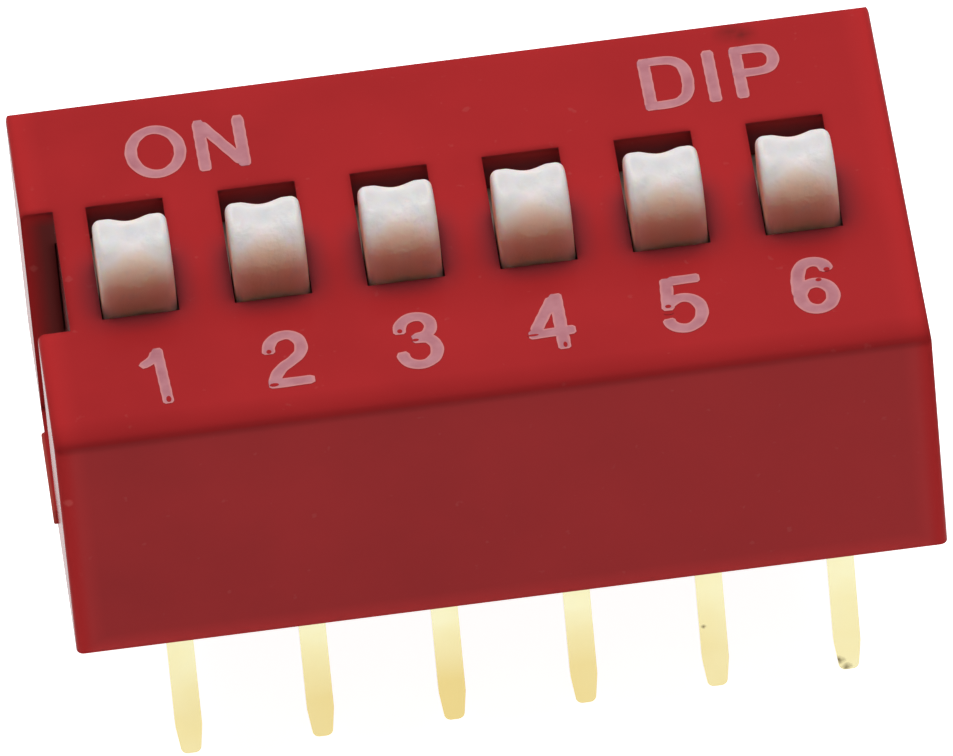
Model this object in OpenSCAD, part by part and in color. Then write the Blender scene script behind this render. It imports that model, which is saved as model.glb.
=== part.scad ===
// Slide dip switch: a moulded cover over a base with two rows of terminals, and one slider per position.
// The origin is the centre of the seating plane. +X runs along the row, +Y to the ON side, +Z up.
// Every slider stands at OFF, the front end of its slot.

/* [Layout] */
// Number of switch positions
positions = 6; // [1:1:12]
// Distance between neighbouring positions
pitch = 2.54; // [2.5:0.02:3]
// Distance between the two rows of pins
row_spacing = 7.62; // [7.4:0.02:7.8]

/* [Cover] */
// Height of the body above the seating plane
body_height = 5.2; // [4.9:0.1:6.5]
// Thickness of the cover's four side walls
cover_wall = 0.6; // [0.4:0.05:0.8]
// Thickness of the cover's roof
roof_thickness = 0.8; // [0.5:0.05:1]
// Radius of the cover's outer edges
edge_radius = 0.15; // [0.05:0.01:0.3]
// Length of a slot, front to back
slot_length = 3.3; // [2.8:0.02:3.6]
// Distance of the slots' centre behind the body's centre
slot_shift = 0.25; // [0:0.01:0.3]

/* [End notch and latches] */
// Width of the notch beside position 1
notch_width = 3.5; // [3:0.1:5]
// Distance of the notch's middle behind the body's centre
notch_shift = 0.14; // [0:0.02:0.3]
// Width of a latch barb
barb_width = 2.4; // [1.6:0.02:2.6]
// Height of the sill below the notch and below the latch window
sill_height = 0.3; // [0.2:0.05:0.8]
// Height of a latch barb above its sill
barb_height = 0.65; // [0.5:0.05:1.4]
// Height of the flat on a barb's tip
barb_tip = 0.25; // [0.1:0.05:0.4]
// How far a barb stands proud of the end face
barb_proud = 0.08; // [0:0.01:0.12]

/* [Slider] */
// Width of a knob along the row
knob_width = 1.42; // [1.2:0.02:1.6]
// Length of a knob along its travel, which is also twice its crown radius
knob_length = 1.7; // [1.4:0.02:2]
// Height of a knob above the cover
knob_height = 1.43; // [1.1:0.01:1.6]
// Depth of the groove that makes the crown a saddle
saddle_depth = 0.1; // [0.05:0.01:0.15]
// Radius of the knob's side edges
knob_edge = 0.16; // [0.1:0.01:0.2]
// Thickness of the guide plate
plate_thickness = 0.6; // [0.4:0.05:0.8]
// Distance from the guide plate to the cover's wall, at either end of its travel
plate_end_gap = 0.48; // [0.3:0.02:0.6]
// Step on each side from the guide plate in to the hub
hub_inset = 0.2; // [0.1:0.02:0.3]
// Length of the hub below the guide plate
hub_length = 1.9; // [1.4:0.05:2.4]
// Diameter of the post that holds the moving contact
post_d = 0.5; // [0.3:0.02:0.6]

/* [Moving contact] */
// Thickness of the contact's spring strip
strip_thickness = 0.12; // [0.08:0.01:0.16]
// Width of the contact
contact_width = 1.0; // [0.8:0.02:1.2]
// Length of the contact's flat middle
contact_flat = 1.1; // [0.9:0.05:1.3]
// Distance between the contact's two touching lines
contact_span = 2.6; // [2.4:0.05:2.8]
// Height of the contact from the terminals to the hub
contact_height = 0.65; // [0.5:0.01:0.8]
// Radius of the contact's curled tips
tip_radius = 0.3; // [0.2:0.01:0.4]
// Width of the slit between a contact's two fingers
finger_slit = 0.2; // [0.1:0.02:0.3]

/* [Terminals] */
// Thickness of the terminals' sheet
sheet_thickness = 0.25; // [0.2:0.01:0.3]
// Width of a terminal's pad and shoulder
pad_width = 1.3; // [1.1:0.02:1.5]
// Width of a pin
pin_width = 0.52; // [0.4:0.01:0.6]
// Length of a pin below the seating plane
pin_length = 3.8; // [2.5:0.05:4.5]
// Width of a pin at its tip
pin_tip_width = 0.4; // [0.3:0.01:0.5]
// Length of a pin's taper
pin_taper = 0.7; // [0.4:0.05:1]
// Inner radius of the bend from pad to leg
bend_radius = 0.15; // [0.1:0.01:0.25]
// Distance from a front pad's end to the touching line at ON
pad_margin = 0.3; // [0.2:0.02:0.4]
// Distance from the touching line at OFF to a rear pad
insulation_gap = 0.57; // [0.4:0.01:0.7]

/* [Base] */
// Height of the base's floor, level with the pads
floor_height = 2.0; // [1.6:0.05:2.2]
// Height at which a terminal's shoulder narrows to the pin
shoulder_height = 0.6; // [0.4:0.05:0.9]
// Thickness of the wall between two neighbouring channels
partition_wall = 0.44; // [0.3:0.02:0.7]
// Thickness of the base's wall outside the outer channels
base_end_wall = 0.32; // [0.25:0.01:0.6]
// Thickness of the base outside the terminals' legs
pin_cover = 0.365; // [0.25:0.005:0.6]

/* [Clearances] */
// Gap between the cover and the base
fit_gap = 0.03; // [0.02:0.01:0.05]
// Gap around a terminal in the base, and around the post in the contact
seat_gap = 0.02; // [0.01:0.01:0.04]
// Gap on each side of a knob in its slot
slot_gap = 0.03; // [0.02:0.01:0.06]
// Gap at each end of a knob's travel
stop_gap = 0.05; // [0.03:0.01:0.08]
// Gap on each side of a guide plate in its channel
guide_gap = 0.05; // [0.03:0.01:0.08]
// Gap between a contact's tips and the pads
contact_gap = 0.02; // [0.01:0.01:0.04]

/* [Hidden] */
$fn = 64;
// How far a cutting shape reaches past the face that it opens
cut = 1;

channel_width = pitch - partition_wall;
base_length = (positions - 1) * pitch + channel_width + 2 * base_end_wall;
base_depth = row_spacing + sheet_thickness + 2 * (seat_gap + pin_cover);
cavity_length = base_length + 2 * fit_gap;
cavity_depth = base_depth + 2 * fit_gap;
body_length = cavity_length + 2 * cover_wall;
body_depth = cavity_depth + 2 * cover_wall;
roof_under = body_height - roof_thickness;
partition_top = roof_under - fit_gap;

// The barbs stand in the front part of the notch
barb_middle = notch_shift - (notch_width - barb_width) / 2 + 2 * fit_gap;

slot_width = knob_width + 2 * slot_gap;
crown_radius = knob_length / 2;
crown_z = body_height + knob_height - crown_radius;
// The groove's axis lies below the crown's, so that the groove runs out down the front and the back
saddle_drop = 0.8 * saddle_depth;
travel = slot_length - knob_length - 2 * stop_gap;
off_y = slot_shift - travel / 2;
on_y = slot_shift + travel / 2;

plate_width = channel_width - 2 * guide_gap;
plate_length = cavity_depth - travel - 2 * (slot_shift + plate_end_gap);
plate_top = roof_under - fit_gap;
plate_under = plate_top - plate_thickness;
hub_under = floor_height + contact_height;
hub_width = plate_width - 2 * hub_inset;
plate_corner = plate_width / 8;
hub_corner = hub_width / 8;

// The contact's sheet follows a line through the middle of its thickness
touch_z = floor_height + contact_gap + strip_thickness / 2;
flat_z = hub_under - strip_thickness / 2;
arm_run = contact_span / 2 - contact_flat / 2;
arm_drop = flat_z - touch_z;
arm_lean = tip_radius - arm_drop;
arm_reach = norm([arm_run, arm_lean]);
// Slope of the arm that leaves the flat's end and is tangent to the curled tip
arm_angle = atan2(arm_run, arm_lean) - acos(tip_radius / arm_reach);
arm_length = sqrt(arm_reach * arm_reach - tip_radius * tip_radius);
curl_angle = 60;
// How far the curled tip laps over the end of its arm
lap_angle = 4;
slit_start = contact_flat / 2;

front_pad_end = on_y - contact_span / 2 + pad_margin;
rear_pad_end = off_y + contact_span / 2 + insulation_gap;
row_y = row_spacing / 2;
bend_y = row_y - sheet_thickness / 2 - bend_radius;
bend_z = floor_height - sheet_thickness - bend_radius;
pin_corner = 0.35 * pin_tip_width;

red = [0.66, 0.09, 0.10];
dark_red = [0.56, 0.08, 0.09];
ivory = [0.90, 0.89, 0.85];
pale_gold = [0.90, 0.80, 0.50];

function switch_x(i) = (i - (positions + 1) / 2) * pitch;
function numbered(name) = [for (i = [1:positions]) str(name, "_", i)];

// Rectangle about the origin with round corners
module round_rect(w, d, r) {
    square([w - 2 * r, d], center = true);
    square([w, d - 2 * r], center = true);
    for (x = [-1, 1], y = [-1, 1])
        translate([x * (w / 2 - r), y * (d / 2 - r)])
            circle(r = r);
}

// Rectangle that stands on the X axis, with its two upper corners round
module arched_rect(w, h, r) {
    translate([-w / 2, 0])
        square([w, h - r]);
    translate([-w / 2 + r, 0])
        square([w - 2 * r, h]);
    for (x = [-1, 1])
        translate([x * (w / 2 - r), h - r])
            circle(r = r);
}

// Stands an outline up: its X runs along the part's Y, its Y along Z, and it is w wide along X
module across(w) {
    rotate([90, 0, 90])
        linear_extrude(w, center = true)
            children();
}

// Stands an outline up: its X runs along the part's X, its Y along Z, and it is d deep along Y
module through(d) {
    rotate([90, 0, 0])
        linear_extrude(d, center = true)
            children();
}

// The cover's outside, with every edge round except those at the rim
module cover_outside() {
    intersection() {
        linear_extrude(body_height)
            round_rect(body_length, body_depth, edge_radius);
        across(body_length)
            arched_rect(body_depth, body_height, edge_radius);
        through(body_depth)
            arched_rect(body_length, body_height, edge_radius);
    }
}

// Opening in one end wall, from the sill up to a given height
module end_window(side, middle, width, top) {
    wall_middle = side * (body_length - cover_wall) / 2;
    translate([wall_middle, middle, (sill_height + top) / 2])
        cube([cover_wall + 2 * fit_gap, width, top - sill_height], center = true);
}

module cover() {
    color(red)
        difference() {
            cover_outside();
            translate([0, 0, (roof_under - cut) / 2])
                cube([cavity_length, cavity_depth, roof_under + cut], center = true);
            for (i = [1:positions])
                translate([switch_x(i), slot_shift, body_height])
                    cube([slot_width, slot_length, 2 * roof_thickness + cut], center = true);
            end_window(-1, notch_shift, notch_width, body_height + cut);
            end_window(1, barb_middle, barb_width + 2 * fit_gap, sill_height + barb_height + 2 * fit_gap);
        }
}

// Wedge on one end of the base that hooks over the cover's sill
module latch_barb(side) {
    root = base_length / 2;
    anchor = root - base_end_wall / 2;
    tip = body_length / 2 + barb_proud;
    hook = sill_height + fit_gap;
    crown = sill_height + barb_height;
    mirror([side < 0 ? 1 : 0, 0, 0])
        translate([0, barb_middle, 0])
            through(barb_width)
                polygon([
                    [anchor, hook],
                    [tip, hook],
                    [tip, hook + barb_tip],
                    [root, crown],
                    [anchor, crown]
                ]);
}

// Channel of one position, above the base's floor
module slider_channel(i) {
    translate([switch_x(i), 0, floor_height + body_height / 2])
        cube([channel_width, body_depth, body_height], center = true);
}

module base() {
    color(dark_red)
        difference() {
            union() {
                translate([0, 0, partition_top / 2])
                    cube([base_length, base_depth, partition_top], center = true);
                latch_barb(-1);
                latch_barb(1);
            }
            for (i = [1:positions]) {
                slider_channel(i);
                place_front(i)
                    terminal_form(-front_pad_end, seat_gap);
                place_rear(i)
                    terminal_form(rear_pad_end, seat_gap);
            }
        }
}

// Half outline of a knob's crown: X is the distance from the crown's axis, Y runs along the row
module crown_half() {
    intersection() {
        round_rect(knob_length, knob_width, knob_edge);
        translate([0, -knob_width / 2])
            square([crown_radius, knob_width]);
    }
}

// Half ring that hollows the crown, deepest over its top
module saddle_ring() {
    groove_half = knob_width / 2 - knob_edge;
    groove_radius = (pow(groove_half, 2) + pow(saddle_depth, 2)) / (2 * saddle_depth);
    translate([0, 0, crown_z - saddle_drop])
        rotate([0, 90, 0])
            rotate([0, 0, 90])
                rotate_extrude(angle = 180)
                    translate([crown_radius + saddle_drop - saddle_depth + groove_radius, 0])
                        circle(r = groove_radius);
}

module knob() {
    difference() {
        union() {
            translate([0, 0, crown_z])
                rotate([0, 90, 0])
                    rotate_extrude()
                        crown_half();
            translate([0, 0, plate_under])
                linear_extrude(crown_z - plate_under)
                    round_rect(knob_width, knob_length, knob_edge);
        }
        saddle_ring();
    }
}

module actuator(i) {
    color(ivory)
        translate([switch_x(i), off_y, 0]) {
            knob();
            translate([0, 0, plate_under])
                linear_extrude(plate_thickness)
                    round_rect(plate_width, plate_length, plate_corner);
            translate([0, 0, hub_under])
                linear_extrude(plate_under - hub_under)
                    round_rect(hub_width, hub_length, hub_corner);
            translate([0, 0, hub_under - 2 * strip_thickness])
                cylinder(d = post_d, h = plate_under - hub_under + 2 * strip_thickness);
        }
}

// Half outline of the contact's strip, from its middle to one curled tip
module strip_half() {
    fan = 3 * tip_radius;
    translate([0, flat_z - strip_thickness / 2])
        square([contact_flat / 2, strip_thickness]);
    translate([contact_flat / 2, flat_z]) {
        circle(d = strip_thickness);
        rotate(-arm_angle)
            translate([0, -strip_thickness / 2])
                square([arm_length, strip_thickness]);
    }
    translate([contact_span / 2, touch_z + tip_radius])
        intersection() {
            difference() {
                circle(r = tip_radius + strip_thickness / 2);
                circle(r = tip_radius - strip_thickness / 2);
            }
            polygon([
                [0, 0],
                fan * [-sin(arm_angle + lap_angle), -cos(arm_angle + lap_angle)],
                fan * [0, -1],
                fan * [sin(curl_angle), -cos(curl_angle)]
            ]);
        }
}

module contact(i) {
    color(pale_gold)
        translate([switch_x(i), off_y, 0])
            difference() {
                across(contact_width)
                    for (turn = [0, 1])
                        mirror([turn, 0])
                            strip_half();
                for (turn = [0, 180])
                    rotate(turn)
                        translate([-finger_slit / 2, slit_start, 0])
                            cube([finger_slit, contact_span, body_height]);
                cylinder(d = post_d + 2 * seat_gap, h = body_height);
            }
}

// Outline of a pin seen from the front, from its shoulder down to its tip
module pin_outline(g) {
    tip_z = -pin_length;
    half = pin_width / 2 + g;
    tip_half = pin_tip_width / 2 + g;
    polygon([
        [-half, shoulder_height],
        [half, shoulder_height],
        [half, tip_z + pin_taper],
        [tip_half, tip_z + pin_corner],
        [-tip_half, tip_z + pin_corner],
        [-half, tip_z + pin_taper]
    ]);
    translate([-tip_half + pin_corner, tip_z])
        square([2 * (tip_half - pin_corner), 2 * pin_corner]);
    for (x = [-1, 1])
        translate([x * (tip_half - pin_corner), tip_z + pin_corner])
            circle(r = pin_corner);
}

// Bent terminal of the rear row, grown by g on every side when it is used to cut its own seat
module terminal_form(pad_end, g) {
    wide = pad_width + 2 * g;
    thick = sheet_thickness + 2 * g;
    translate([-wide / 2, pad_end - g, floor_height - sheet_thickness - g])
        cube([wide, bend_y - pad_end + g, thick]);
    translate([0, bend_y, bend_z])
        rotate([0, 90, 0])
            rotate([0, 0, 90])
                rotate_extrude(angle = 90)
                    translate([bend_radius - g, -wide / 2])
                        square([thick, wide]);
    translate([-wide / 2, row_y - thick / 2, shoulder_height - g])
        cube([wide, thick, bend_z - shoulder_height + g]);
    translate([0, row_y, 0])
        through(thick)
            pin_outline(g);
}

module place_rear(i) {
    translate([switch_x(i), 0, 0])
        children();
}

module place_front(i) {
    place_rear(i)
        mirror([0, 1, 0])
            children();
}

module front_terminal(i) {
    color(pale_gold)
        place_front(i)
            terminal_form(-front_pad_end, 0);
}

module rear_terminal(i) {
    color(pale_gold)
        place_rear(i)
            terminal_form(rear_pad_end, 0);
}

cover();
base();
for (i = [1:positions]) {
    actuator(i);
    contact(i);
    front_terminal(i);
    rear_terminal(i);
}
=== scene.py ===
"""Looks of a six-position slide dip switch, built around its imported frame.

Lengths are millimetres in the part's own frame: +X along the row, +Y to the ON side, +Z up from the seat.
"""
import math

import bmesh
import bpy
from mathutils import Matrix, Vector


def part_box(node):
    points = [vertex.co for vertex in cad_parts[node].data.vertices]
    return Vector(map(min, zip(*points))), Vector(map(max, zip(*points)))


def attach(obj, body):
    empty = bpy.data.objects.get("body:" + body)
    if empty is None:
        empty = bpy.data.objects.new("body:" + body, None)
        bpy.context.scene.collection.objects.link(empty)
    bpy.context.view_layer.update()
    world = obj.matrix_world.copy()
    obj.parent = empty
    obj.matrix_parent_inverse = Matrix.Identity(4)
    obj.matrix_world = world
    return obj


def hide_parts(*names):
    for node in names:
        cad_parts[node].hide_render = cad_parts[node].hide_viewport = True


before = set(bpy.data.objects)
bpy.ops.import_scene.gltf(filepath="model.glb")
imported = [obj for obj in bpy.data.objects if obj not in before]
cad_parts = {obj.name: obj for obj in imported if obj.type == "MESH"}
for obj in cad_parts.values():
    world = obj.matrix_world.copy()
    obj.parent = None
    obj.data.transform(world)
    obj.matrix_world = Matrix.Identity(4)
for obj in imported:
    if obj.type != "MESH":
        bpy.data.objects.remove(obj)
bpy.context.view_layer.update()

# Layout that the frame gives
MM = 0.001
POSITIONS = sum(name.startswith("actuator_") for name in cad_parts)
NUMBERS = range(1, POSITIONS + 1)


def node_box(name):
    low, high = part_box(name)
    return low / MM, high / MM


TOP_Z = node_box("cover")[1].z
FLOOR_Z = node_box("front_terminal_1")[0].z

# Camera, fitted to the corners of the body, the slots and the pin tips in the photograph
IMAGE_WIDTH_PX = 953
CAMERA_AZIMUTH = -2.767
CAMERA_ELEVATION = 41.27
CAMERA_ROLL = -5.426
CAMERA_DISTANCE = 450
FOCAL_PX = 23553
AIM_AT = Vector((0.0, 0.0, 2.0))
AIM_OFFSET_PX = (0.24, -27.1)
SENSOR_WIDTH = 36
# Reach of the camera's view, and half the floor's width
CLIP_START = 10
CLIP_END = 20000
FLOOR_REACH = 2000

# Slider, as in the part's source
KNOB_WIDTH = 1.42
KNOB_LENGTH = 1.70
SADDLE_DEPTH = 0.10
SADDLE_DROP = 0.08
KNOB_EDGE = 0.16
PLATE_TOP = 4.37
PLATE_THICKNESS = 0.6
HUB_WIDTH = 1.6
HUB_LENGTH = 1.9
HUB_UNDER = 2.65
POST_D = 0.5
PLATE_CORNER = 0.25
HUB_CORNER = 0.2
# Slider, here only: its fine edges, and how far the post reaches up into the hub
SLIDER_EDGE = 0.04
POST_EDGE = 0.02
POST_ROOT = 0.2
# Leaves a short flat between the post's quarter arcs, so that they share no point
POST_FLAT = 0.001
# Fineness of the knob: steps round its edge, on each half of its groove and over its crown
EDGE_STEPS = 6
GROOVE_STEPS = 10
CROWN_STEPS = 36
# Angle in degrees from which an edge of the slider shades as a corner
CORNER_ANGLE = 40

# Print: the ink's rise above the cover, root in it and step between strokes; its turn, places and widths
INK_RISE = 0.006
INK_SINK = 0.003
INK_STEP = 0.0004
PRINT_TURN = math.radians(0.75)
DIGIT_FOOT = -3.93
WORD_FOOT = 2.565
DIGIT_STROKE = 0.252
WORD_STROKE = 0.238
# Digits with a thinner or thicker stroke than the others
STROKE_SHARE = {"1": 0.84, "6": 1.08}
# Centre lines of the characters' strokes as (x, y) from the middle of the character's foot
GLYPHS = {
    "1": [[(0.0, -0.02), (-0.06, 1.59)],
          [(-0.08, 1.50), (-0.18, 1.28), (-0.41, 1.11)]],
    "2": [[(-0.32, 0.98), (-0.30, 1.20), (-0.20, 1.38), (-0.03, 1.47), (0.14, 1.45), (0.27, 1.31),
           (0.31, 1.10), (0.26, 0.90), (0.10, 0.72), (-0.10, 0.56), (-0.24, 0.36), (-0.31, 0.12)],
          [(-0.42, 0.115), (0.46, 0.115)]],
    "3": [[(-0.30, 1.04), (-0.28, 1.26), (-0.17, 1.42), (0.0, 1.49), (0.19, 1.44), (0.29, 1.29),
           (0.29, 1.10), (0.18, 0.94), (-0.08, 0.87)],
          [(-0.08, 0.86), (0.20, 0.83), (0.32, 0.68), (0.35, 0.49), (0.29, 0.28), (0.14, 0.14),
           (-0.02, 0.11), (-0.19, 0.18), (-0.29, 0.33), (-0.32, 0.53)]],
    "4": [[(0.13, 1.50), (-0.33, 0.56)],
          [(-0.45, 0.51), (0.45, 0.52)],
          [(0.18, 1.60), (0.18, 0.0)]],
    "5": [[(0.40, 1.51), (-0.22, 1.51)],
          [(-0.235, 1.60), (-0.30, 0.68)],
          [(-0.29, 0.81), (-0.16, 0.95), (0.02, 1.00), (0.20, 0.92), (0.31, 0.73), (0.32, 0.49),
           (0.22, 0.25), (0.02, 0.12), (-0.18, 0.16), (-0.30, 0.29), (-0.33, 0.45)]],
    "6": [[(0.29, 1.21), (0.23, 1.41), (0.09, 1.51), (-0.09, 1.50), (-0.22, 1.37), (-0.29, 1.12),
           (-0.315, 0.82), (-0.315, 0.56)]],
    "N": [[(-0.38, 0.0), (-0.38, 1.50)],
          [(-0.36, 1.40), (0.36, 0.10)],
          [(0.38, 0.0), (0.38, 1.50)]],
    "D": [[(-0.40, 0.0), (-0.40, 1.53)],
          [(-0.42, 1.41), (-0.04, 1.41), (0.18, 1.35), (0.33, 1.16), (0.38, 0.78), (0.33, 0.38),
           (0.18, 0.18), (-0.04, 0.12), (-0.42, 0.12)]],
    "I": [[(0.0, 0.0), (0.0, 1.53)]],
    "P": [[(-0.33, 0.0), (-0.33, 1.52)],
          [(-0.35, 1.40), (0.08, 1.40), (0.27, 1.34), (0.36, 1.17), (0.36, 0.98), (0.27, 0.80), (0.08, 0.73),
           (-0.35, 0.73)]],
}


def oval(middle_x, middle_y, half_width, half_height, steps=28):
    """Closed line of points round an oval."""
    turns = [2 * math.pi * k / steps for k in range(steps)] + [0.0]
    return [(middle_x + half_width * math.cos(a), middle_y + half_height * math.sin(a)) for a in turns]


GLYPHS["O"] = [oval(0.0, 0.755, 0.47, 0.65)]
GLYPHS["6"].append(oval(0.0, 0.53, 0.31, 0.38))
# Shift of each digit from the middle of its slider, and the letters with their places along the row
DIGIT_SHIFT = {"1": 0.22, "2": 0.02, "3": -0.03, "4": -0.02, "5": -0.02, "6": -0.04}
WORDS = [("O", -5.56), ("N", -4.29), ("D", 4.34), ("I", 5.18), ("P", 6.04)]
# Places that the ink missed: (character, x, y, half width, half height)
BARE_SPOTS = [("1", 0.01, 0.10, 0.05, 0.09), ("2", -0.31, 1.05, 0.05, 0.06), ("2", -0.32, 0.09, 0.09, 0.05),
              ("3", -0.29, 1.13, 0.05, 0.06), ("3", -0.03, 0.82, 0.07, 0.04), ("4", -0.37, 0.50, 0.11, 0.03),
              ("4", 0.20, 0.12, 0.04, 0.08), ("5", -0.29, 0.80, 0.06, 0.05), ("5", -0.30, 0.60, 0.09, 0.04),
              ("6", 0.28, 1.25, 0.06, 0.06), ("6", 0.09, 0.98, 0.06, 0.05)]


def mesh_object(name, bm, smooth=False):
    mesh = bpy.data.meshes.new(name)
    for face in bm.faces:
        face.smooth = smooth
    bm.to_mesh(mesh)
    bm.free()
    obj = bpy.data.objects.new(name, mesh)
    bpy.context.scene.collection.objects.link(obj)
    return obj


# Materials

# Reds of the body, of its parts and marks, and of the painted light and painted shade on it
COVER_REDS = (0.40, 0.0225, 0.0245), (0.46, 0.026, 0.028)
BASE_REDS = (0.30, 0.016, 0.017), (0.34, 0.019, 0.020)
DUST_RED = (0.55, 0.16, 0.15)
# Painted light on the ends and along the foot of the body
EDGE_LIGHT_RED = (0.56, 0.032, 0.033)
# Painted light on the base's barbs
BARB_LIGHT_RED = (0.62, 0.120, 0.090)
# Painted shade in the slots, in the notch and about the knobs
RECESS_SHADE_RED = (0.145, 0.036, 0.046)
NOTCH_SHADE_RED = (0.190, 0.052, 0.048)
# Painted shade along the front rim of the top
FRONT_SHADE_RED = (0.20, 0.0075, 0.008)
STAIN_RED = (0.19, 0.020, 0.018)
CHIP_RED = (0.62, 0.080, 0.075)
# Bands over which the red changes: along an axis, or away from the middle of the part
# Painted light lies over the band from left to right, the end edges with the upper rim, the foot edge and
# the barbs; painted shade over the front rim, the hollows, the notch and the shaded top
LEFT_TO_RIGHT = (-8.0, 8.0)
END_EDGES = (7.75, 8.20)
UPPER_RIM = (5.00, 5.19)
FOOT_EDGE = (0.08, 0.40)
BARBS = (8.36, 8.40)
TOP_FACE = (5.00, 5.15)
FRONT_RIM = (-4.75, -4.20)
HOLLOW_X = (7.95, 8.30)
HOLLOW_Y = (2.90, 3.10)
HOLLOW_Z = (4.85, 5.17)
NOTCH_X = (7.20, 7.50)
SHADED_Z = (5.12, 5.18)
SHADE_REACH = 0.65
# Gloss of the red plastic's skin: weak on the top, and on the ends only at a very flat angle
SKIN_IOR = 1.2
END_IOR = 1.06
END_SKIN = (8.0, 8.2)
TOP_SKIN = 0.12
SKIN_ROUGHNESS = (0.08, 0.18)
# Upward share of the surface's direction over which the skin grows weak
TURNED_UP = (0.0, 0.9)
# Red plastic under the skin, and the radius of its soft edges
RED_ROUGHNESS = 0.6
RED_RELIEF = 0.003
SOFT_EDGE = 0.34
# Strength of each change of the red where it is fullest, and what the upper rim leaves of the painted light
# on the ends
RIGHT_LIGHT_SHARE = 0.6
DUST_SHARE = 0.14
EDGE_LIGHT_SHARE = 0.9
RIM_SHARE = 0.6
BARB_LIGHT_SHARE = 0.8
FRONT_SHADE_SHARE = 0.38
HOLLOW_SHADE_SHARE = 0.8
SHADE_SHARE = 0.8
# Grain of the noises in features per millimetre, and the bands of their values that show
CLOUD_GRAIN = 0.4
CLOUD_BAND = (0.3, 0.7)
SPECK_GRAIN = 4.0
SPECK_DETAIL = 2.0
DUST_BAND = (0.70, 0.76)
SKIN_GRAIN = 1.5
RED_GRAIN = 8.0
# Openness where the shade about the knobs is fullest and where it ends; rays for it and for soft edges
SHADE_BAND = (0.5, 0.97)
NEAR_SAMPLES = 6
# Marks on the cover: a dark smear on the top as (x, y, radius), and a chip on the front as (x, z, radius)
STAINS = [(5.62, 4.62, 0.38), (5.86, 4.50, 0.34)]
CHIPS = [(-8.20, 3.84, 0.13)]
# Raggedness of marks: the noise's grain, and the band of values over which a mark sets in
STAIN_EDGE = (2.0, 0.0, 0.6)
CHIP_EDGE = (9.0, 0.1, 0.3)
WORN_EDGE = (9.0, 0.1, 0.5)
MARK_SHARE = 0.9

# Golds as (pale, deep, tip), tarnish of the pins about one place, clouds, and worn spots as (x, z, radius)
PIN_GOLDS = (0.99, 0.94, 0.60), (0.97, 0.89, 0.51), (0.87, 0.69, 0.28)
CONTACT_GOLDS = (0.92, 0.76, 0.36), (0.86, 0.66, 0.28), (0.86, 0.66, 0.28)
WORN_BROWN = (0.20, 0.16, 0.08)
PIN_TIP = (-2.8, -1.3)
TARNISH_X = -1.3
TARNISH_BAND = (1.0, 7.6)
TARNISH_LEAST = 0.26
GOLD_CLOUDS = 0.8
GOLD_BAND = (0.35, 0.65)
GOLD_GRAIN = 4.0
GOLD_ROUGHNESS = (0.18, 0.30)
GOLD_BUMPS = 7.0
GOLD_RELIEF = 0.002
WORN_SPOTS = [(6.17, -3.52, 0.17), (6.30, -3.72, 0.16), (3.63, -2.23, 0.08)]

# Painted red bounce light and painted shade on the sliders' plastic by height above the seat, darkest down
# in the slots; at a knob's sides it is that of a place higher up, which paints the sides lighter
SIDE_LIFT = 0.14
WARM_BOUNCE_AND_SHADE = [(4.40, (0.30, 0.22, 0.18)), (5.05, (0.56, 0.36, 0.25)), (5.28, (0.84, 0.52, 0.34)),
          (5.70, (0.85, 0.57, 0.39)), (5.95, (0.84, 0.55, 0.37)), (6.14, (0.87, 0.59, 0.43)),
          (6.31, (0.92, 0.74, 0.61)), (6.43, (0.92, 0.83, 0.79)), (6.56, (0.80, 0.78, 0.765))]
# Painted light beside a knob's flanks
SIDE_LIGHT_TONE = (0.92, 0.81, 0.76)
# Painted shade on the crest, where it faces the soft box
CREST_SHADE_TONE = (0.655, 0.63, 0.625)
GREY_TONE = (0.62, 0.56, 0.52)
# Painted shade in a knob's lower corners, and the band in which its foot ends
FOOT_SHADE_TONE = (0.20, 0.07, 0.055)
FOOT_Z = (5.20, 5.55)
# Bands across a knob, 0 in its middle and 1 at its flanks, and of how far its surface faces sideways or up
LIFTED_SIDE = (0.3, 0.9)
PALE_SIDE = (0.5, 1.0)
CORNER_SIDE = (0.8, 1.0)
FLANK_FACING = (0.9, 0.99)
CREST_FACING = (0.93, 1.0)
# Strength of each change of the white where it is fullest, and the band of the noise that shows as grey
SIDE_LIGHT_SHARE = 0.5
CORNER_SHADE_SHARE = 0.75
CREST_SHADE_SHARE = 0.9
GREY_SHARE = 0.25
GREY_BAND = (0.58, 0.75)
# Nylon's surface, and how light spreads below it: share, reach by colour and depth
NYLON_GRAIN = 5.0
NYLON_ROUGHNESS = (0.24, 0.44)
NYLON_BUMPS = 9.0
NYLON_RELIEF = 0.016
SPREAD_SHARE = 0.6
SPREAD_REACH = (1.0, 0.45, 0.22)
SPREAD_DEPTH = 0.45

# Ink: the thin film's two shades, the thicker rim of a stroke, and the surface
FILM_THIN = (0.47, 0.177, 0.205)
FILM_FULL = (0.58, 0.255, 0.280)
INK_RIM = (0.74, 0.29, 0.275)
RIM_FULL = 0.9
FILM_GRAIN = 2.5
FILM_BAND = (0.30, 0.70)
INK_GRAIN = 6.0
INK_ROUGHNESS = (0.5, 0.65)
INK_SHINE = 0.1

# Floor: its own grey under the lamps, and what it adds to the camera's view
FLOOR_SHADE = 0.9
FLOOR_GLOW = 0.93


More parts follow.
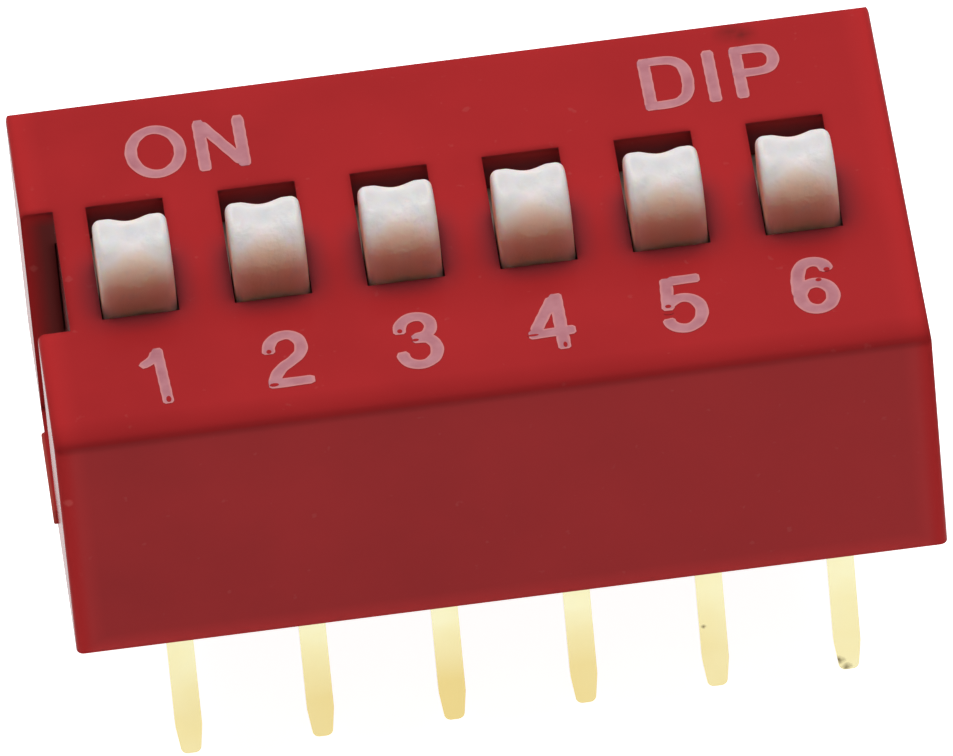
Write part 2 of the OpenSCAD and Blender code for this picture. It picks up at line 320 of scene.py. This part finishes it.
class Graph:
    """Node tree of a material or of the world; the methods add nodes and give back an output."""

    def __init__(self, tree):
        self.nodes = tree.nodes
        self.link = tree.links.new

    def math(self, operation, first, second=0.0):
        """Result of a calculation on an output and a second output or plain number."""
        node = self.nodes.new("ShaderNodeMath")
        node.operation = operation
        self.link(first, node.inputs[0])
        if isinstance(second, float):
            node.inputs[1].default_value = second
        else:
            self.link(second, node.inputs[1])
        return node.outputs["Value"]

    def product(self, first, second):
        return self.math("MULTIPLY", first, second)

    def peak(self, sources):
        """Largest of several values."""
        best = sources[0]
        for source in sources[1:]:
            best = self.math("MAXIMUM", best, source)
        return best

    def coordinates(self, kind):
        """X, Y and Z of the place on the object, or of the surface's own direction."""
        coord = self.nodes.new("ShaderNodeTexCoord")
        split = self.nodes.new("ShaderNodeSeparateXYZ")
        self.link(coord.outputs[kind], split.inputs["Vector"])
        return split.outputs

    def along(self, axis):
        """Place along one axis of the part's frame, in millimetres."""
        return self.math("DIVIDE", self.coordinates("Object")[axis], MM)

    def away(self, axis, middle=0.0):
        """Distance from a place on one axis, in millimetres."""
        return self.math("ABSOLUTE", self.math("SUBTRACT", self.along(axis), middle))

    def facing_up(self):
        """Upward share of the surface's own direction, 1 where it faces straight up."""
        return self.coordinates("Normal")["Z"]

    def facing_side(self):
        """Sideways share of the surface's own direction, 1 where it faces along the row."""
        return self.math("ABSOLUTE", self.coordinates("Normal")["X"])

    def attribute(self, name):
        """Value that the mesh carries at its points."""
        node = self.nodes.new("ShaderNodeAttribute")
        node.attribute_name = name
        return node.outputs["Fac"]

    def rays(self, *kinds):
        """1 for rays of the named kinds, 0 for others."""
        path = self.nodes.new("ShaderNodeLightPath")
        return self.peak([path.outputs[f"Is {kind} Ray"] for kind in kinds])

    def noise(self, scale, detail=3.0):
        """Noise in object coordinates; scale is in features per millimetre."""
        coord = self.nodes.new("ShaderNodeTexCoord")
        tex = self.nodes.new("ShaderNodeTexNoise")
        tex.inputs["Scale"].default_value = scale / MM
        tex.inputs["Detail"].default_value = detail
        tex.inputs["Roughness"].default_value = 0.5
        self.link(coord.outputs["Object"], tex.inputs["Vector"])
        return tex.outputs["Fac"]

    def level(self, source, low, high, start=0.0, end=1.0):
        """Maps a value from the band start to end to the range low to high, clamped at both ends."""
        node = self.nodes.new("ShaderNodeMapRange")
        node.inputs["From Min"].default_value = start
        node.inputs["From Max"].default_value = end
        node.inputs["To Min"].default_value = low
        node.inputs["To Max"].default_value = high
        self.link(source, node.inputs["Value"])
        return node.outputs["Result"]

    def ramp(self, source, stops):
        """Colour ramp over a value; stops are (position, colour)."""
        node = self.nodes.new("ShaderNodeValToRGB")
        elements = node.color_ramp.elements
        while len(elements) < len(stops):
            elements.new(0.5)
        for element, (position, colour) in zip(elements, stops):
            element.position = position
            element.color = (*colour, 1.0)
        self.link(source, node.inputs["Fac"])
        return node.outputs["Color"]

    def blend(self, factor, first, second):
        """Mixes a colour output with a fixed second colour."""
        node = self.nodes.new("ShaderNodeMix")
        node.data_type = "RGBA"
        node.inputs["B"].default_value = (*second, 1.0)
        self.link(factor, node.inputs["Factor"])
        self.link(first, node.inputs["A"])
        return node.outputs["Result"]

    def patches(self, second_axis, spots, grain, start, end):
        """Ragged patches about places given as (x, place on the second axis, radius)."""
        ragged = self.noise(grain)
        found = []
        for first, second, radius in spots:
            across = self.level(self.away("X", first), 1.0, 0.0, 0.0, radius)
            up = self.level(self.away(second_axis, second), 1.0, 0.0, 0.0, radius)
            found.append(self.product(self.product(across, up), ragged))
        return self.level(self.peak(found), 0.0, MARK_SHARE, start, end)

    def bump(self, shader, height, distance):
        """Fine unevenness of a shader's surface; gives back the node."""
        node = self.nodes.new("ShaderNodeBump")
        node.inputs["Distance"].default_value = distance * MM
        self.link(height, node.inputs["Height"])
        self.link(node.outputs["Normal"], shader.inputs["Normal"])
        return node


def new_material(name):
    mat = bpy.data.materials.new(name)
    mat.use_nodes = True
    return mat, Graph(mat.node_tree), mat.node_tree.nodes["Principled BSDF"]


def assign(obj, mat):
    obj.data.materials.clear()
    obj.data.materials.append(mat)


def red_body(graph, dark, light):
    """Cloudy red with a little dust, and painted light: lighter to the right, on the ends and along the
    foot.
    """
    colour = graph.ramp(graph.noise(CLOUD_GRAIN), list(zip(CLOUD_BAND, (dark, light))))
    # Painted light, growing towards the right
    colour = graph.blend(graph.level(graph.along("X"), 0.0, RIGHT_LIGHT_SHARE, *LEFT_TO_RIGHT), colour, light)
    dust = graph.level(graph.noise(SPECK_GRAIN, SPECK_DETAIL), 0.0, DUST_SHARE, *DUST_BAND)
    colour = graph.blend(dust, colour, DUST_RED)
    # Painted light on the ends and along the foot
    ends = graph.product(graph.level(graph.away("X"), 0.0, EDGE_LIGHT_SHARE, *END_EDGES),
                         graph.level(graph.along("Z"), 1.0, RIM_SHARE, *UPPER_RIM))
    foot = graph.level(graph.along("Z"), EDGE_LIGHT_SHARE, 0.0, *FOOT_EDGE)
    return graph.blend(graph.peak([ends, foot]), colour, EDGE_LIGHT_RED)


def red_marks_light_and_shade(graph, colour):
    """A chip and a dark smear, with painted light on the barbs and painted shade along the front rim of the
    top.
    """
    on_top = graph.level(graph.along("Z"), 0.0, 1.0, *TOP_FACE)
    # Painted light on the barbs
    colour = graph.blend(graph.level(graph.away("X"), 0.0, BARB_LIGHT_SHARE, *BARBS), colour, BARB_LIGHT_RED)
    colour = graph.blend(graph.patches("Z", CHIPS, *CHIP_EDGE), colour, CHIP_RED)
    stain = graph.product(graph.patches("Y", STAINS, *STAIN_EDGE), on_top)
    colour = graph.blend(stain, colour, STAIN_RED)
    # Painted shade along the front rim of the top
    front = graph.product(graph.level(graph.along("Y"), FRONT_SHADE_SHARE, 0.0, *FRONT_RIM), on_top)
    return graph.blend(front, colour, FRONT_SHADE_RED)


def painted_knob_shade(graph):
    """Painted shade on the cover's top, by how far the knobs close to it shut it in."""
    closeness = graph.nodes.new("ShaderNodeAmbientOcclusion")
    closeness.samples = NEAR_SAMPLES
    closeness.inputs["Distance"].default_value = SHADE_REACH * MM
    return graph.product(graph.level(closeness.outputs["AO"], SHADE_SHARE, 0.0, *SHADE_BAND),
                         graph.level(graph.along("Z"), 0.0, 1.0, *SHADED_Z))


def red_hollow_shade(graph, colour):
    """Painted shade in the notch and slots, and painted shade about the knobs."""
    inside = graph.product(graph.level(graph.away("X"), 1.0, 0.0, *HOLLOW_X),
                           graph.level(graph.away("Y"), 1.0, 0.0, *HOLLOW_Y))
    deep = graph.product(inside, graph.level(graph.along("Z"), HOLLOW_SHADE_SHARE, 0.0, *HOLLOW_Z))
    notch = graph.level(graph.away("X"), 0.0, 1.0, *NOTCH_X)
    slots = graph.level(graph.away("X"), 1.0, 0.0, *NOTCH_X)
    colour = graph.blend(graph.product(notch, deep), colour, NOTCH_SHADE_RED)
    colour = graph.blend(graph.product(slots, deep), colour, RECESS_SHADE_RED)
    return graph.blend(painted_knob_shade(graph), colour, RECESS_SHADE_RED)


def red_plastic(name, dark, light):
    """Moulded plastic: cloudy red under a faint smooth skin, with soft edges."""
    mat, graph, shader = new_material(name)
    colour = red_hollow_shade(graph, red_marks_light_and_shade(graph, red_body(graph, dark, light)))
    graph.link(colour, shader.inputs["Base Color"])
    shader.inputs["Roughness"].default_value = RED_ROUGHNESS
    shader.inputs["Specular IOR Level"].default_value = 0.0
    weight = graph.level(graph.facing_up(), 1.0, TOP_SKIN, *TURNED_UP)
    graph.link(weight, shader.inputs["Coat Weight"])
    bending = graph.level(graph.away("X"), SKIN_IOR, END_IOR, *END_SKIN)
    graph.link(bending, shader.inputs["Coat IOR"])
    graph.link(graph.level(graph.noise(SKIN_GRAIN), *SKIN_ROUGHNESS), shader.inputs["Coat Roughness"])
    soft = graph.nodes.new("ShaderNodeBevel")
    soft.samples = NEAR_SAMPLES
    soft.inputs["Radius"].default_value = SOFT_EDGE * MM
    grain = graph.bump(shader, graph.noise(RED_GRAIN), RED_RELIEF)
    graph.link(soft.outputs["Normal"], grain.inputs["Normal"])
    return mat


def knob_tone_light_and_shade(graph):
    """White crown with grey mottling, and painted light and shade: a warm foot of painted red bounce light,
    painted light beside the flanks, painted shade on the crest and in the low corners.
    """
    side = graph.attribute("side")
    lift = graph.level(side, 0.0, SIDE_LIFT, *LIFTED_SIDE)
    low, high = WARM_BOUNCE_AND_SHADE[0][0], WARM_BOUNCE_AND_SHADE[-1][0]
    height = graph.level(graph.math("ADD", graph.along("Z"), lift), 0.0, 1.0, low, high)
    tone = graph.ramp(height, [((z - low) / (high - low), colour) for z, colour in WARM_BOUNCE_AND_SHADE])
    # Painted light beside the flanks
    beside = graph.product(graph.level(side, 0.0, SIDE_LIGHT_SHARE, *PALE_SIDE),
                           graph.level(graph.facing_side(), 1.0, 0.0, *FLANK_FACING))
    tone = graph.blend(beside, tone, SIDE_LIGHT_TONE)
    # Painted shade in the knob's low corners
    corner = graph.product(graph.level(side, 0.0, CORNER_SHADE_SHARE, *CORNER_SIDE),
                           graph.level(graph.along("Z"), 1.0, 0.0, *FOOT_Z))
    tone = graph.blend(corner, tone, FOOT_SHADE_TONE)
    # Painted shade on the crest
    crest = graph.product(graph.level(graph.facing_up(), 0.0, CREST_SHADE_SHARE, *CREST_FACING),
                          graph.level(graph.along("Z"), 0.0, 1.0, *FOOT_Z))
    tone = graph.blend(crest, tone, CREST_SHADE_TONE)
    grey = graph.level(graph.noise(SPECK_GRAIN, SPECK_DETAIL), 0.0, GREY_SHARE, *GREY_BAND)
    return graph.blend(grey, tone, GREY_TONE)


def white_plastic(name):
    """Translucent off-white nylon with a slightly uneven skin."""
    mat, graph, shader = new_material(name)
    graph.link(knob_tone_light_and_shade(graph), shader.inputs["Base Color"])
    graph.link(graph.level(graph.noise(NYLON_GRAIN), *NYLON_ROUGHNESS), shader.inputs["Roughness"])
    shader.inputs["Subsurface Weight"].default_value = SPREAD_SHARE
    shader.inputs["Subsurface Radius"].default_value = SPREAD_REACH
    shader.inputs["Subsurface Scale"].default_value = SPREAD_DEPTH * MM
    graph.bump(shader, graph.noise(NYLON_BUMPS), NYLON_RELIEF)
    return mat


def gold_plate(name, pale, deep, tip):
    """Thin gold plating, cloudy and deeper towards the pins' tips, with a few worn patches."""
    mat, graph, shader = new_material(name)
    colour = graph.ramp(graph.noise(GOLD_CLOUDS), list(zip(GOLD_BAND, (deep, pale))))
    tarnish = graph.product(graph.level(graph.along("Z"), 1.0, 0.0, *PIN_TIP),
                            graph.level(graph.away("X", TARNISH_X), 1.0, TARNISH_LEAST, *TARNISH_BAND))
    colour = graph.blend(tarnish, colour, tip)
    colour = graph.blend(graph.patches("Z", WORN_SPOTS, *WORN_EDGE), colour, WORN_BROWN)
    graph.link(colour, shader.inputs["Base Color"])
    graph.link(graph.level(graph.noise(GOLD_GRAIN), *GOLD_ROUGHNESS), shader.inputs["Roughness"])
    shader.inputs["Metallic"].default_value = 1.0
    graph.bump(shader, graph.noise(GOLD_BUMPS), GOLD_RELIEF)
    return mat


def print_ink(name):
    """Thin pale ink that lets the red show through in patches, thicker along the rims of the strokes."""
    mat, graph, shader = new_material(name)
    film = graph.ramp(graph.noise(FILM_GRAIN), list(zip(FILM_BAND, (FILM_THIN, FILM_FULL))))
    rim = graph.level(graph.attribute("rim"), 0.0, RIM_FULL)
    graph.link(graph.blend(rim, film, INK_RIM), shader.inputs["Base Color"])
    graph.link(graph.level(graph.noise(INK_GRAIN), *INK_ROUGHNESS), shader.inputs["Roughness"])
    shader.inputs["Specular IOR Level"].default_value = INK_SHINE
    return mat


def floor_white(name):
    """Matt floor that reads as white to the camera and to mirrors, with a soft shadow left on it."""
    mat, graph, shader = new_material(name)
    graph.nodes.remove(shader)
    matt = graph.nodes.new("ShaderNodeBsdfDiffuse")
    matt.inputs["Color"].default_value = (FLOOR_SHADE, FLOOR_SHADE, FLOOR_SHADE, 1.0)
    seen = graph.nodes.new("ShaderNodeEmission")
    graph.link(graph.level(graph.rays("Camera"), 0.0, FLOOR_GLOW), seen.inputs["Strength"])
    both = graph.nodes.new("ShaderNodeAddShader")
    graph.link(matt.outputs["BSDF"], both.inputs[0])
    graph.link(seen.outputs["Emission"], both.inputs[1])
    mirrored = graph.nodes.new("ShaderNodeEmission")
    mirrored.inputs["Strength"].default_value = 1.0
    choice = graph.nodes.new("ShaderNodeMixShader")
    graph.link(graph.rays("Glossy", "Transmission"), choice.inputs["Fac"])
    graph.link(both.outputs["Shader"], choice.inputs[1])
    graph.link(mirrored.outputs["Emission"], choice.inputs[2])
    graph.link(choice.outputs["Shader"], graph.nodes["Material Output"].inputs["Surface"])
    return mat


# Stage: floor, camera and light

def make_floor():
    bm = bmesh.new()
    bmesh.ops.create_grid(bm, x_segments=1, y_segments=1, size=FLOOR_REACH * MM)
    floor = mesh_object("floor", bm)
    floor.location.z = FLOOR_Z * MM
    assign(floor, floor_white("floor_white"))


def make_camera():
    azimuth, elevation, roll = (math.radians(a) for a in (CAMERA_AZIMUTH, CAMERA_ELEVATION, CAMERA_ROLL))
    back = Vector((math.sin(azimuth) * math.cos(elevation),
                   -math.cos(azimuth) * math.cos(elevation),
                   math.sin(elevation)))
    level_right = Vector((math.cos(azimuth), math.sin(azimuth), 0.0))
    level_up = back.cross(level_right)
    right = math.cos(roll) * level_right + math.sin(roll) * level_up
    up = back.cross(right)
    px_per_mm = FOCAL_PX / CAMERA_DISTANCE
    aim = AIM_AT - right * (AIM_OFFSET_PX[0] / px_per_mm) + up * (AIM_OFFSET_PX[1] / px_per_mm)
    data = bpy.data.cameras.new("camera")
    data.sensor_width = SENSOR_WIDTH
    data.lens = FOCAL_PX / IMAGE_WIDTH_PX * SENSOR_WIDTH
    data.clip_start = CLIP_START * MM
    data.clip_end = CLIP_END * MM
    camera = bpy.data.objects.new("camera", data)
    axes = Matrix((right, up, back)).transposed().to_4x4()
    camera.matrix_world = Matrix.Translation((aim + back * CAMERA_DISTANCE) * MM) @ axes
    bpy.context.scene.collection.objects.link(camera)
    bpy.context.scene.camera = camera


def area_light(name, place, target, size, power, colour=(1, 1, 1)):
    data = bpy.data.lights.new(name, "AREA")
    data.color = colour
    data.shape = "RECTANGLE"
    data.size = size[0] * MM
    data.size_y = size[1] * MM
    data.energy = power
    lamp = bpy.data.objects.new(name, data)
    lamp.location = Vector(place) * MM
    lamp.rotation_mode = "QUATERNION"
    lamp.rotation_quaternion = (Vector(target) - Vector(place)).to_track_quat("-Z", "Y")
    lamp.visible_camera = False
    lamp.visible_glossy = False
    bpy.context.scene.collection.objects.link(lamp)
    return lamp


# Light: the room's level, the soft box and its bright middle, and a card; powers are watts
ROOM_LEVEL = 0.08
KEY_PLACE = (0, 82, 225)
KEY_SIZE = (320, 320)
KEY_POWER = 0.775
KEY_COLOUR = (0.98, 1.0, 1.03)
GLINT_SIZE = (30, 30)
GLINT_POWER = 0.06
CARD_PLACE = (0, -30, -3)
CARD_AIM = (0, -4.9, 2)
CARD_SIZE = (60, 10)
CARD_POWER = 0.0032
# The pieces that mirror the soft box
SHINY = bpy.data.collections.new("shiny")


def make_light():
    """Soft box above and a little behind, its image in the shiny pieces, and a card low in front."""
    area_light("key_above", KEY_PLACE, (0, 0, 0), KEY_SIZE, KEY_POWER, KEY_COLOUR)
    area_light("card_front", CARD_PLACE, CARD_AIM, CARD_SIZE, CARD_POWER)
    for name, size, power in (("key_sheen", KEY_SIZE, KEY_POWER), ("key_glint", GLINT_SIZE, GLINT_POWER)):
        mirrored = area_light(name, KEY_PLACE, (0, 0, 0), size, power, KEY_COLOUR)
        mirrored.visible_diffuse = False
        mirrored.visible_glossy = True
        mirrored.light_linking.receiver_collection = SHINY


def make_world():
    """Dim room with a white backdrop, which the camera and mirrors see."""
    world = bpy.data.worlds.new("studio")
    world.use_nodes = True
    graph = Graph(world.node_tree)
    room = graph.nodes["Background"]
    strength = graph.level(graph.rays("Camera", "Glossy", "Transmission"), ROOM_LEVEL, 1.0)
    graph.link(strength, room.inputs["Strength"])
    room.inputs["Color"].default_value = (1, 1, 1, 1)
    bpy.context.scene.world = world


# Sliders

def round_outline(width, depth, radius, steps=5):
    """Corners of a rectangle about the origin with round corners, counter-clockwise."""
    points = []
    for quarter, (sx, sy) in enumerate([(1, 1), (-1, 1), (-1, -1), (1, -1)]):
        for k in range(steps + 1):
            angle = math.radians(90 * (quarter + k / steps))
            points.append((sx * (width / 2 - radius) + radius * math.cos(angle),
                           sy * (depth / 2 - radius) + radius * math.sin(angle)))
    return points


def add_prism(bm, outline, low, high, edge):
    """Solid over an outline, with its upper and lower rims drawn in by a small edge."""
    def ring(z, inset):
        reach = 1 - inset / max(x for x, _ in outline), 1 - inset / max(y for _, y in outline)
        return [bm.verts.new((x * reach[0], y * reach[1], z)) for x, y in outline]
    rings = [ring(low, edge), ring(low + edge, 0), ring(high - edge, 0), ring(high, edge)]
    count = len(outline)
    for below, above in zip(rings, rings[1:]):
        for k in range(count):
            bm.faces.new((below[k], below[(k + 1) % count], above[(k + 1) % count], above[k]))
    bm.faces.new(rings[0][::-1])
    bm.faces.new(rings[-1])


def knob_section(rise):
    """Offsets across a knob, with how far its surface lies inside the crown's full radius at each.

    Rise is 1 over the top of the crown, where the groove is deepest, and 0 at its front and back.
    """
    ear = KNOB_WIDTH / 2 - KNOB_EDGE
    edge_angles = [math.radians(90 / EDGE_STEPS * k) for k in range(1, EDGE_STEPS + 1)]
    edge = [(ear + KNOB_EDGE * math.sin(a), KNOB_EDGE * (1 - math.cos(a))) for a in edge_angles]
    groove = []
    for k in range(-GROOVE_STEPS, GROOVE_STEPS + 1):
        depth = SADDLE_DEPTH * math.cos(math.pi / 2 * k / GROOVE_STEPS) ** 2
        groove.append((ear * k / GROOVE_STEPS, max(0.0, depth - SADDLE_DROP * (1 - rise))))
    return [(-u, inset) for u, inset in reversed(edge)] + groove + edge


def knob_path(foot_z, crown_z):
    """Stations up the front, over the crown and down the back: (centre's z, outward y, outward z)."""
    path = [(z, -1.0, 0.0) for z in (foot_z, (foot_z + crown_z) / 2)]
    for k in range(CROWN_STEPS + 1):
        angle = math.radians(180 - 180 / CROWN_STEPS * k)
        path.append((crown_z, math.cos(angle), math.sin(angle)))
    return path + [(z, 1.0, 0.0) for z in ((foot_z + crown_z) / 2, foot_z)]


def add_knob(bm, foot_z, crown_z):
    """Saddle-shaped knob, its section carried along the path; side is 0 in its middle, 1 at its flanks."""
    radius = KNOB_LENGTH / 2
    side = bm.verts.layers.float.new("side")
    rows = []
    for centre_z, ny, nz in knob_path(foot_z, crown_z):
        row = []
        for u, inset in knob_section(nz):
            vert = bm.verts.new((u, ny * (radius - inset), centre_z + nz * (radius - inset)))
            vert[side] = abs(u) / (KNOB_WIDTH / 2)
            row.append(vert)
        rows.append(row)
    for row, following in zip(rows, rows[1:]):
        for k in range(len(row) - 1):
            bm.faces.new((row[k], row[k + 1], following[k + 1], following[k]))
    bm.faces.new([row[0] for row in rows])
    bm.faces.new([row[-1] for row in reversed(rows)])
    bm.faces.new(rows[0][::-1] + rows[-1])


def make_slider(i, mat):
    """One slider with its knob, plate, hub and post, in place of the source's plainer one."""
    low, high = node_box(f"actuator_{i}")
    middle = (low + high) / 2
    size = high - low
    bm = bmesh.new()
    add_knob(bm, PLATE_TOP - PLATE_THICKNESS / 2, high.z - KNOB_LENGTH / 2)
    plate = round_outline(size.x, size.y, PLATE_CORNER)
    hub = round_outline(HUB_WIDTH, HUB_LENGTH, HUB_CORNER)
    post = round_outline(POST_D, POST_D, POST_D / 2 - POST_FLAT)
    add_prism(bm, plate, PLATE_TOP - PLATE_THICKNESS, PLATE_TOP, SLIDER_EDGE)
    add_prism(bm, hub, HUB_UNDER, PLATE_TOP - PLATE_THICKNESS / 2, POST_EDGE)
    add_prism(bm, post, low.z, HUB_UNDER + POST_ROOT, POST_EDGE)
    bmesh.ops.scale(bm, vec=(MM, MM, MM), verts=bm.verts)
    bmesh.ops.translate(bm, vec=Vector((middle.x, middle.y, 0)) * MM, verts=bm.verts)
    piece = mesh_object(f"slider_knob_{i}", bm, smooth=True)
    corners = piece.modifiers.new("corners", "EDGE_SPLIT")
    corners.split_angle = math.radians(CORNER_ANGLE)
    assign(piece, mat)
    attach(piece, f"slider_{i}")
    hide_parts(f"actuator_{i}")
    SHINY.objects.link(piece)


# Lettering

# Distance between the points of a stroke, and parts of the curve between two points of a character
LINE_STEP = 0.05
CURVE_PARTS = 4


def smooth_line(points):
    """Catmull-Rom curve through the points; a line of two points stays as it is."""
    if len(points) < 3:
        return [Vector(p) for p in points]
    closed = points[0] == points[-1]
    pts = [Vector(p) for p in points]
    if closed:
        pts = [pts[-2]] + pts + [pts[1]]
    else:
        pts = [2 * pts[0] - pts[1]] + pts + [2 * pts[-1] - pts[-2]]
    line = []
    for a, b, c, d in zip(pts, pts[1:], pts[2:], pts[3:]):
        for k in range(CURVE_PARTS):
            t = k / CURVE_PARTS
            line.append(0.5 * (2 * b + (c - a) * t + (2 * a - 5 * b + 4 * c - d) * t ** 2
                               + (3 * b - a - 3 * c + d) * t ** 3))
    line.append(pts[-2])
    return line


def even_line(line):
    """The same line with points at even distances."""
    result = [line[0]]
    ahead = LINE_STEP
    for a, b in zip(line, line[1:]):
        length = (b - a).length
        while ahead < length:
            result.append(a + (b - a) * (ahead / length))
            ahead += LINE_STEP
        ahead -= length
    result[-1] = line[-1]
    return result


# Narrow ends of a stroke, the inner line of its rim as a share of its half, and the unevenness of its edges
CAP_LENGTH = 0.08
CAP_WIDTH = 0.6
RIM_INSET = 0.55
WOBBLE = 0.03
WOBBLE_RATES = (9.0, 23.0)
# Oval over a place that the ink missed: its corners, and the steps by which it lies above the strokes
SPOT_CORNERS = 12
SPOT_STEPS = 4


def stroke_width(k, count, closed):
    """Share of the full stroke at point k: narrower at the two ends of an open stroke."""
    reach = min(k, count - 1 - k) * LINE_STEP
    if closed or reach >= CAP_LENGTH:
        return 1.0
    return CAP_WIDTH + (1 - CAP_WIDTH) * math.sqrt(1 - (1 - reach / CAP_LENGTH) ** 2)


def neighbours(line, k, closed):
    """Points before and after point k of a line."""
    if closed:
        return line[k - 1], line[(k + 1) % len(line)]
    return line[max(k - 1, 0)], line[min(k + 1, len(line) - 1)]


def stroke_line(points):
    """Even centre line of a stroke, and whether it closes on itself."""
    closed = points[0] == points[-1]
    line = even_line(smooth_line(points))
    return (line[:-1] if closed else line), closed


def covered(point, others, reach):
    """Whether another stroke of the same character lies over a point."""
    return any((point - spot).length < reach for line, _ in others for spot in line)


def stroke_spots(line, closed, k, width):
    """Six corners of a stroke's section at point k: (place, whether on top, whether on the rim)."""
    behind, ahead = neighbours(line, k, closed)
    side = Vector((behind.y - ahead.y, ahead.x - behind.x)).normalized()
    wobble = 1 + WOBBLE * math.sin(WOBBLE_RATES[0] * line[k].x + WOBBLE_RATES[1] * line[k].y)
    half = width / 2 * wobble * stroke_width(k, len(line), closed)
    is_end = not closed and k in (0, len(line) - 1)
    corners = ((1, False), (1, True), (RIM_INSET, True), (-RIM_INSET, True), (-1, True), (-1, False))
    return [(line[k] + side * half * share, on_top, is_end or abs(share) == 1) for share, on_top in corners]


def add_stroke(bm, stroke, others, width, heights, place):
    """Closed slab along a centre line, a little uneven along its edges; place maps (x, y) to the cover."""
    line, closed = stroke
    rim = bm.verts.layers.float.get("rim") or bm.verts.layers.float.new("rim")
    rows = []
    for k in range(len(line)):
        row = []
        for spot, on_top, on_rim in stroke_spots(line, closed, k, width):
            vert = bm.verts.new((*place(spot), heights[on_top]))
            vert[rim] = 1.0 if on_rim and not covered(spot, others, width / 2) else 0.0
            row.append(vert)
        rows.append(row)
    skin_rows(bm, rows, closed)


def skin_rows(bm, rows, closed):
    """Faces between the sections of a stroke, and over its two ends if it is open."""
    count = len(rows[0])
    pairs = list(zip(rows, rows[1:]))
    if closed:
        pairs.append((rows[-1], rows[0]))
    else:
        bm.faces.new(rows[0])
        bm.faces.new(rows[-1][::-1])
    for row, following in pairs:
        for k in range(count):
            bm.faces.new((row[k], row[(k + 1) % count], following[(k + 1) % count], following[k]))


def add_spot(bm, centre, half_width, half_height, heights, place):
    """Oval slab over a place that the ink missed."""
    angles = [math.radians(360 / SPOT_CORNERS * k) for k in range(SPOT_CORNERS)]
    ring = [centre + Vector((half_width * math.cos(a), half_height * math.sin(a))) for a in angles]
    lower = [bm.verts.new((*place(p), heights[0])) for p in ring]
    upper = [bm.verts.new((*place(p), heights[1])) for p in ring]
    for k in range(SPOT_CORNERS):
        after = (k + 1) % SPOT_CORNERS
        bm.faces.new((lower[k], lower[after], upper[after], upper[k]))
    bm.faces.new(lower[::-1])
    bm.faces.new(upper)


def printer(x, y):
    """Maps a character's own coordinates to the cover, with the print's slight turn."""
    turn = Matrix.Rotation(PRINT_TURN, 2)
    return lambda point: turn @ (Vector((x, y)) + point)


def finish_print(name, bm, mat):
    bmesh.ops.scale(bm, vec=(MM, MM, MM), verts=bm.verts)
    bmesh.ops.recalc_face_normals(bm, faces=bm.faces)
    piece = mesh_object(name, bm)
    assign(piece, mat)
    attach(piece, "housing")


def digit_places():
    """Where each digit stands along the row."""
    places = {}
    for i in NUMBERS:
        low, high = node_box(f"actuator_{i}")
        places[str(i)] = (low.x + high.x) / 2 + DIGIT_SHIFT[str(i)]
    return places


def make_character(character, x, y, width, ink):
    """One printed character; each further stroke lies a hair higher, so that no two tops share a plane."""
    bm = bmesh.new()
    strokes = [stroke_line(points) for points in GLYPHS[character]]
    for k, stroke in enumerate(strokes):
        others = strokes[:k] + strokes[k + 1:]
        heights = TOP_Z - INK_SINK, TOP_Z + INK_RISE + k * INK_STEP
        add_stroke(bm, stroke, others, width, heights, printer(x, y))
    finish_print(f"print_{character}", bm, ink)


def make_print(ink, bare):
    """All characters, and the places on the digits that the ink missed."""
    places = digit_places()
    for character, x in places.items():
        width = DIGIT_STROKE * STROKE_SHARE.get(character, 1.0)
        make_character(character, x, DIGIT_FOOT, width, ink)
    for character, x in WORDS:
        make_character(character, x, WORD_FOOT, WORD_STROKE, ink)
    bm = bmesh.new()
    heights = TOP_Z - INK_SINK, TOP_Z + INK_RISE + SPOT_STEPS * INK_STEP
    for character, x, y, half_width, half_height in BARE_SPOTS:
        place = printer(places[character], DIGIT_FOOT)
        add_spot(bm, Vector((x, y)), half_width, half_height, heights, place)
    finish_print("print_bare_spots", bm, bare)


# Shown solids of the part's source

# Width of the round edge by kind of solid, its rows of faces, and how close points are to be joined
EDGE_OF = {"cover": 0.02, "base": 0.03, "front_terminal": 0.03, "rear_terminal": 0.03}
EDGE_ROWS = 2
WELD_REACH = 0.0001
# Angles in degrees: faces closer than the first count as one flat, edges sharper than the second are rounded
FLAT_ANGLE = 1
SHARP_ANGLE = 50


def soften(obj, width):
    """Small round edges on a shown solid, with flat faces that still shade flat."""
    for face in obj.data.polygons:
        face.use_smooth = True
    weld = obj.modifiers.new("weld", "WELD")
    weld.merge_threshold = WELD_REACH * MM
    flats = obj.modifiers.new("flats", "DECIMATE")
    flats.decimate_type = "DISSOLVE"
    flats.angle_limit = math.radians(FLAT_ANGLE)
    edges = obj.modifiers.new("edges", "BEVEL")
    edges.width = width * MM
    edges.segments = EDGE_ROWS
    edges.limit_method = "ANGLE"
    edges.angle_limit = math.radians(SHARP_ANGLE)
    normals = obj.modifiers.new("normals", "WEIGHTED_NORMAL")
    normals.keep_sharp = True


def dress_solids(looks):
    """Gives each solid of the frame its material, and round edges to the kinds that have them."""
    for name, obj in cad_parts.items():
        kind = name if name in looks else name.rsplit("_", 1)[0]
        assign(obj, looks[kind])
        if kind in EDGE_OF:
            soften(obj, EDGE_OF[kind])


make_camera()
make_light()
make_world()
make_floor()

COVER = red_plastic("cover_red", *COVER_REDS)
BASE = red_plastic("base_red", *BASE_REDS)
SLIDER = white_plastic("slider_white")
PIN = gold_plate("pin_gold", *PIN_GOLDS)
CONTACT = gold_plate("contact_gold", *CONTACT_GOLDS)
dress_solids({"cover": COVER, "base": BASE, "actuator": SLIDER, "contact": CONTACT,
              "front_terminal": PIN, "rear_terminal": PIN})
for i in NUMBERS:
    make_slider(i, SLIDER)
make_print(print_ink("print_ink"), COVER)

bpy.context.scene.view_settings.view_transform = "Standard"
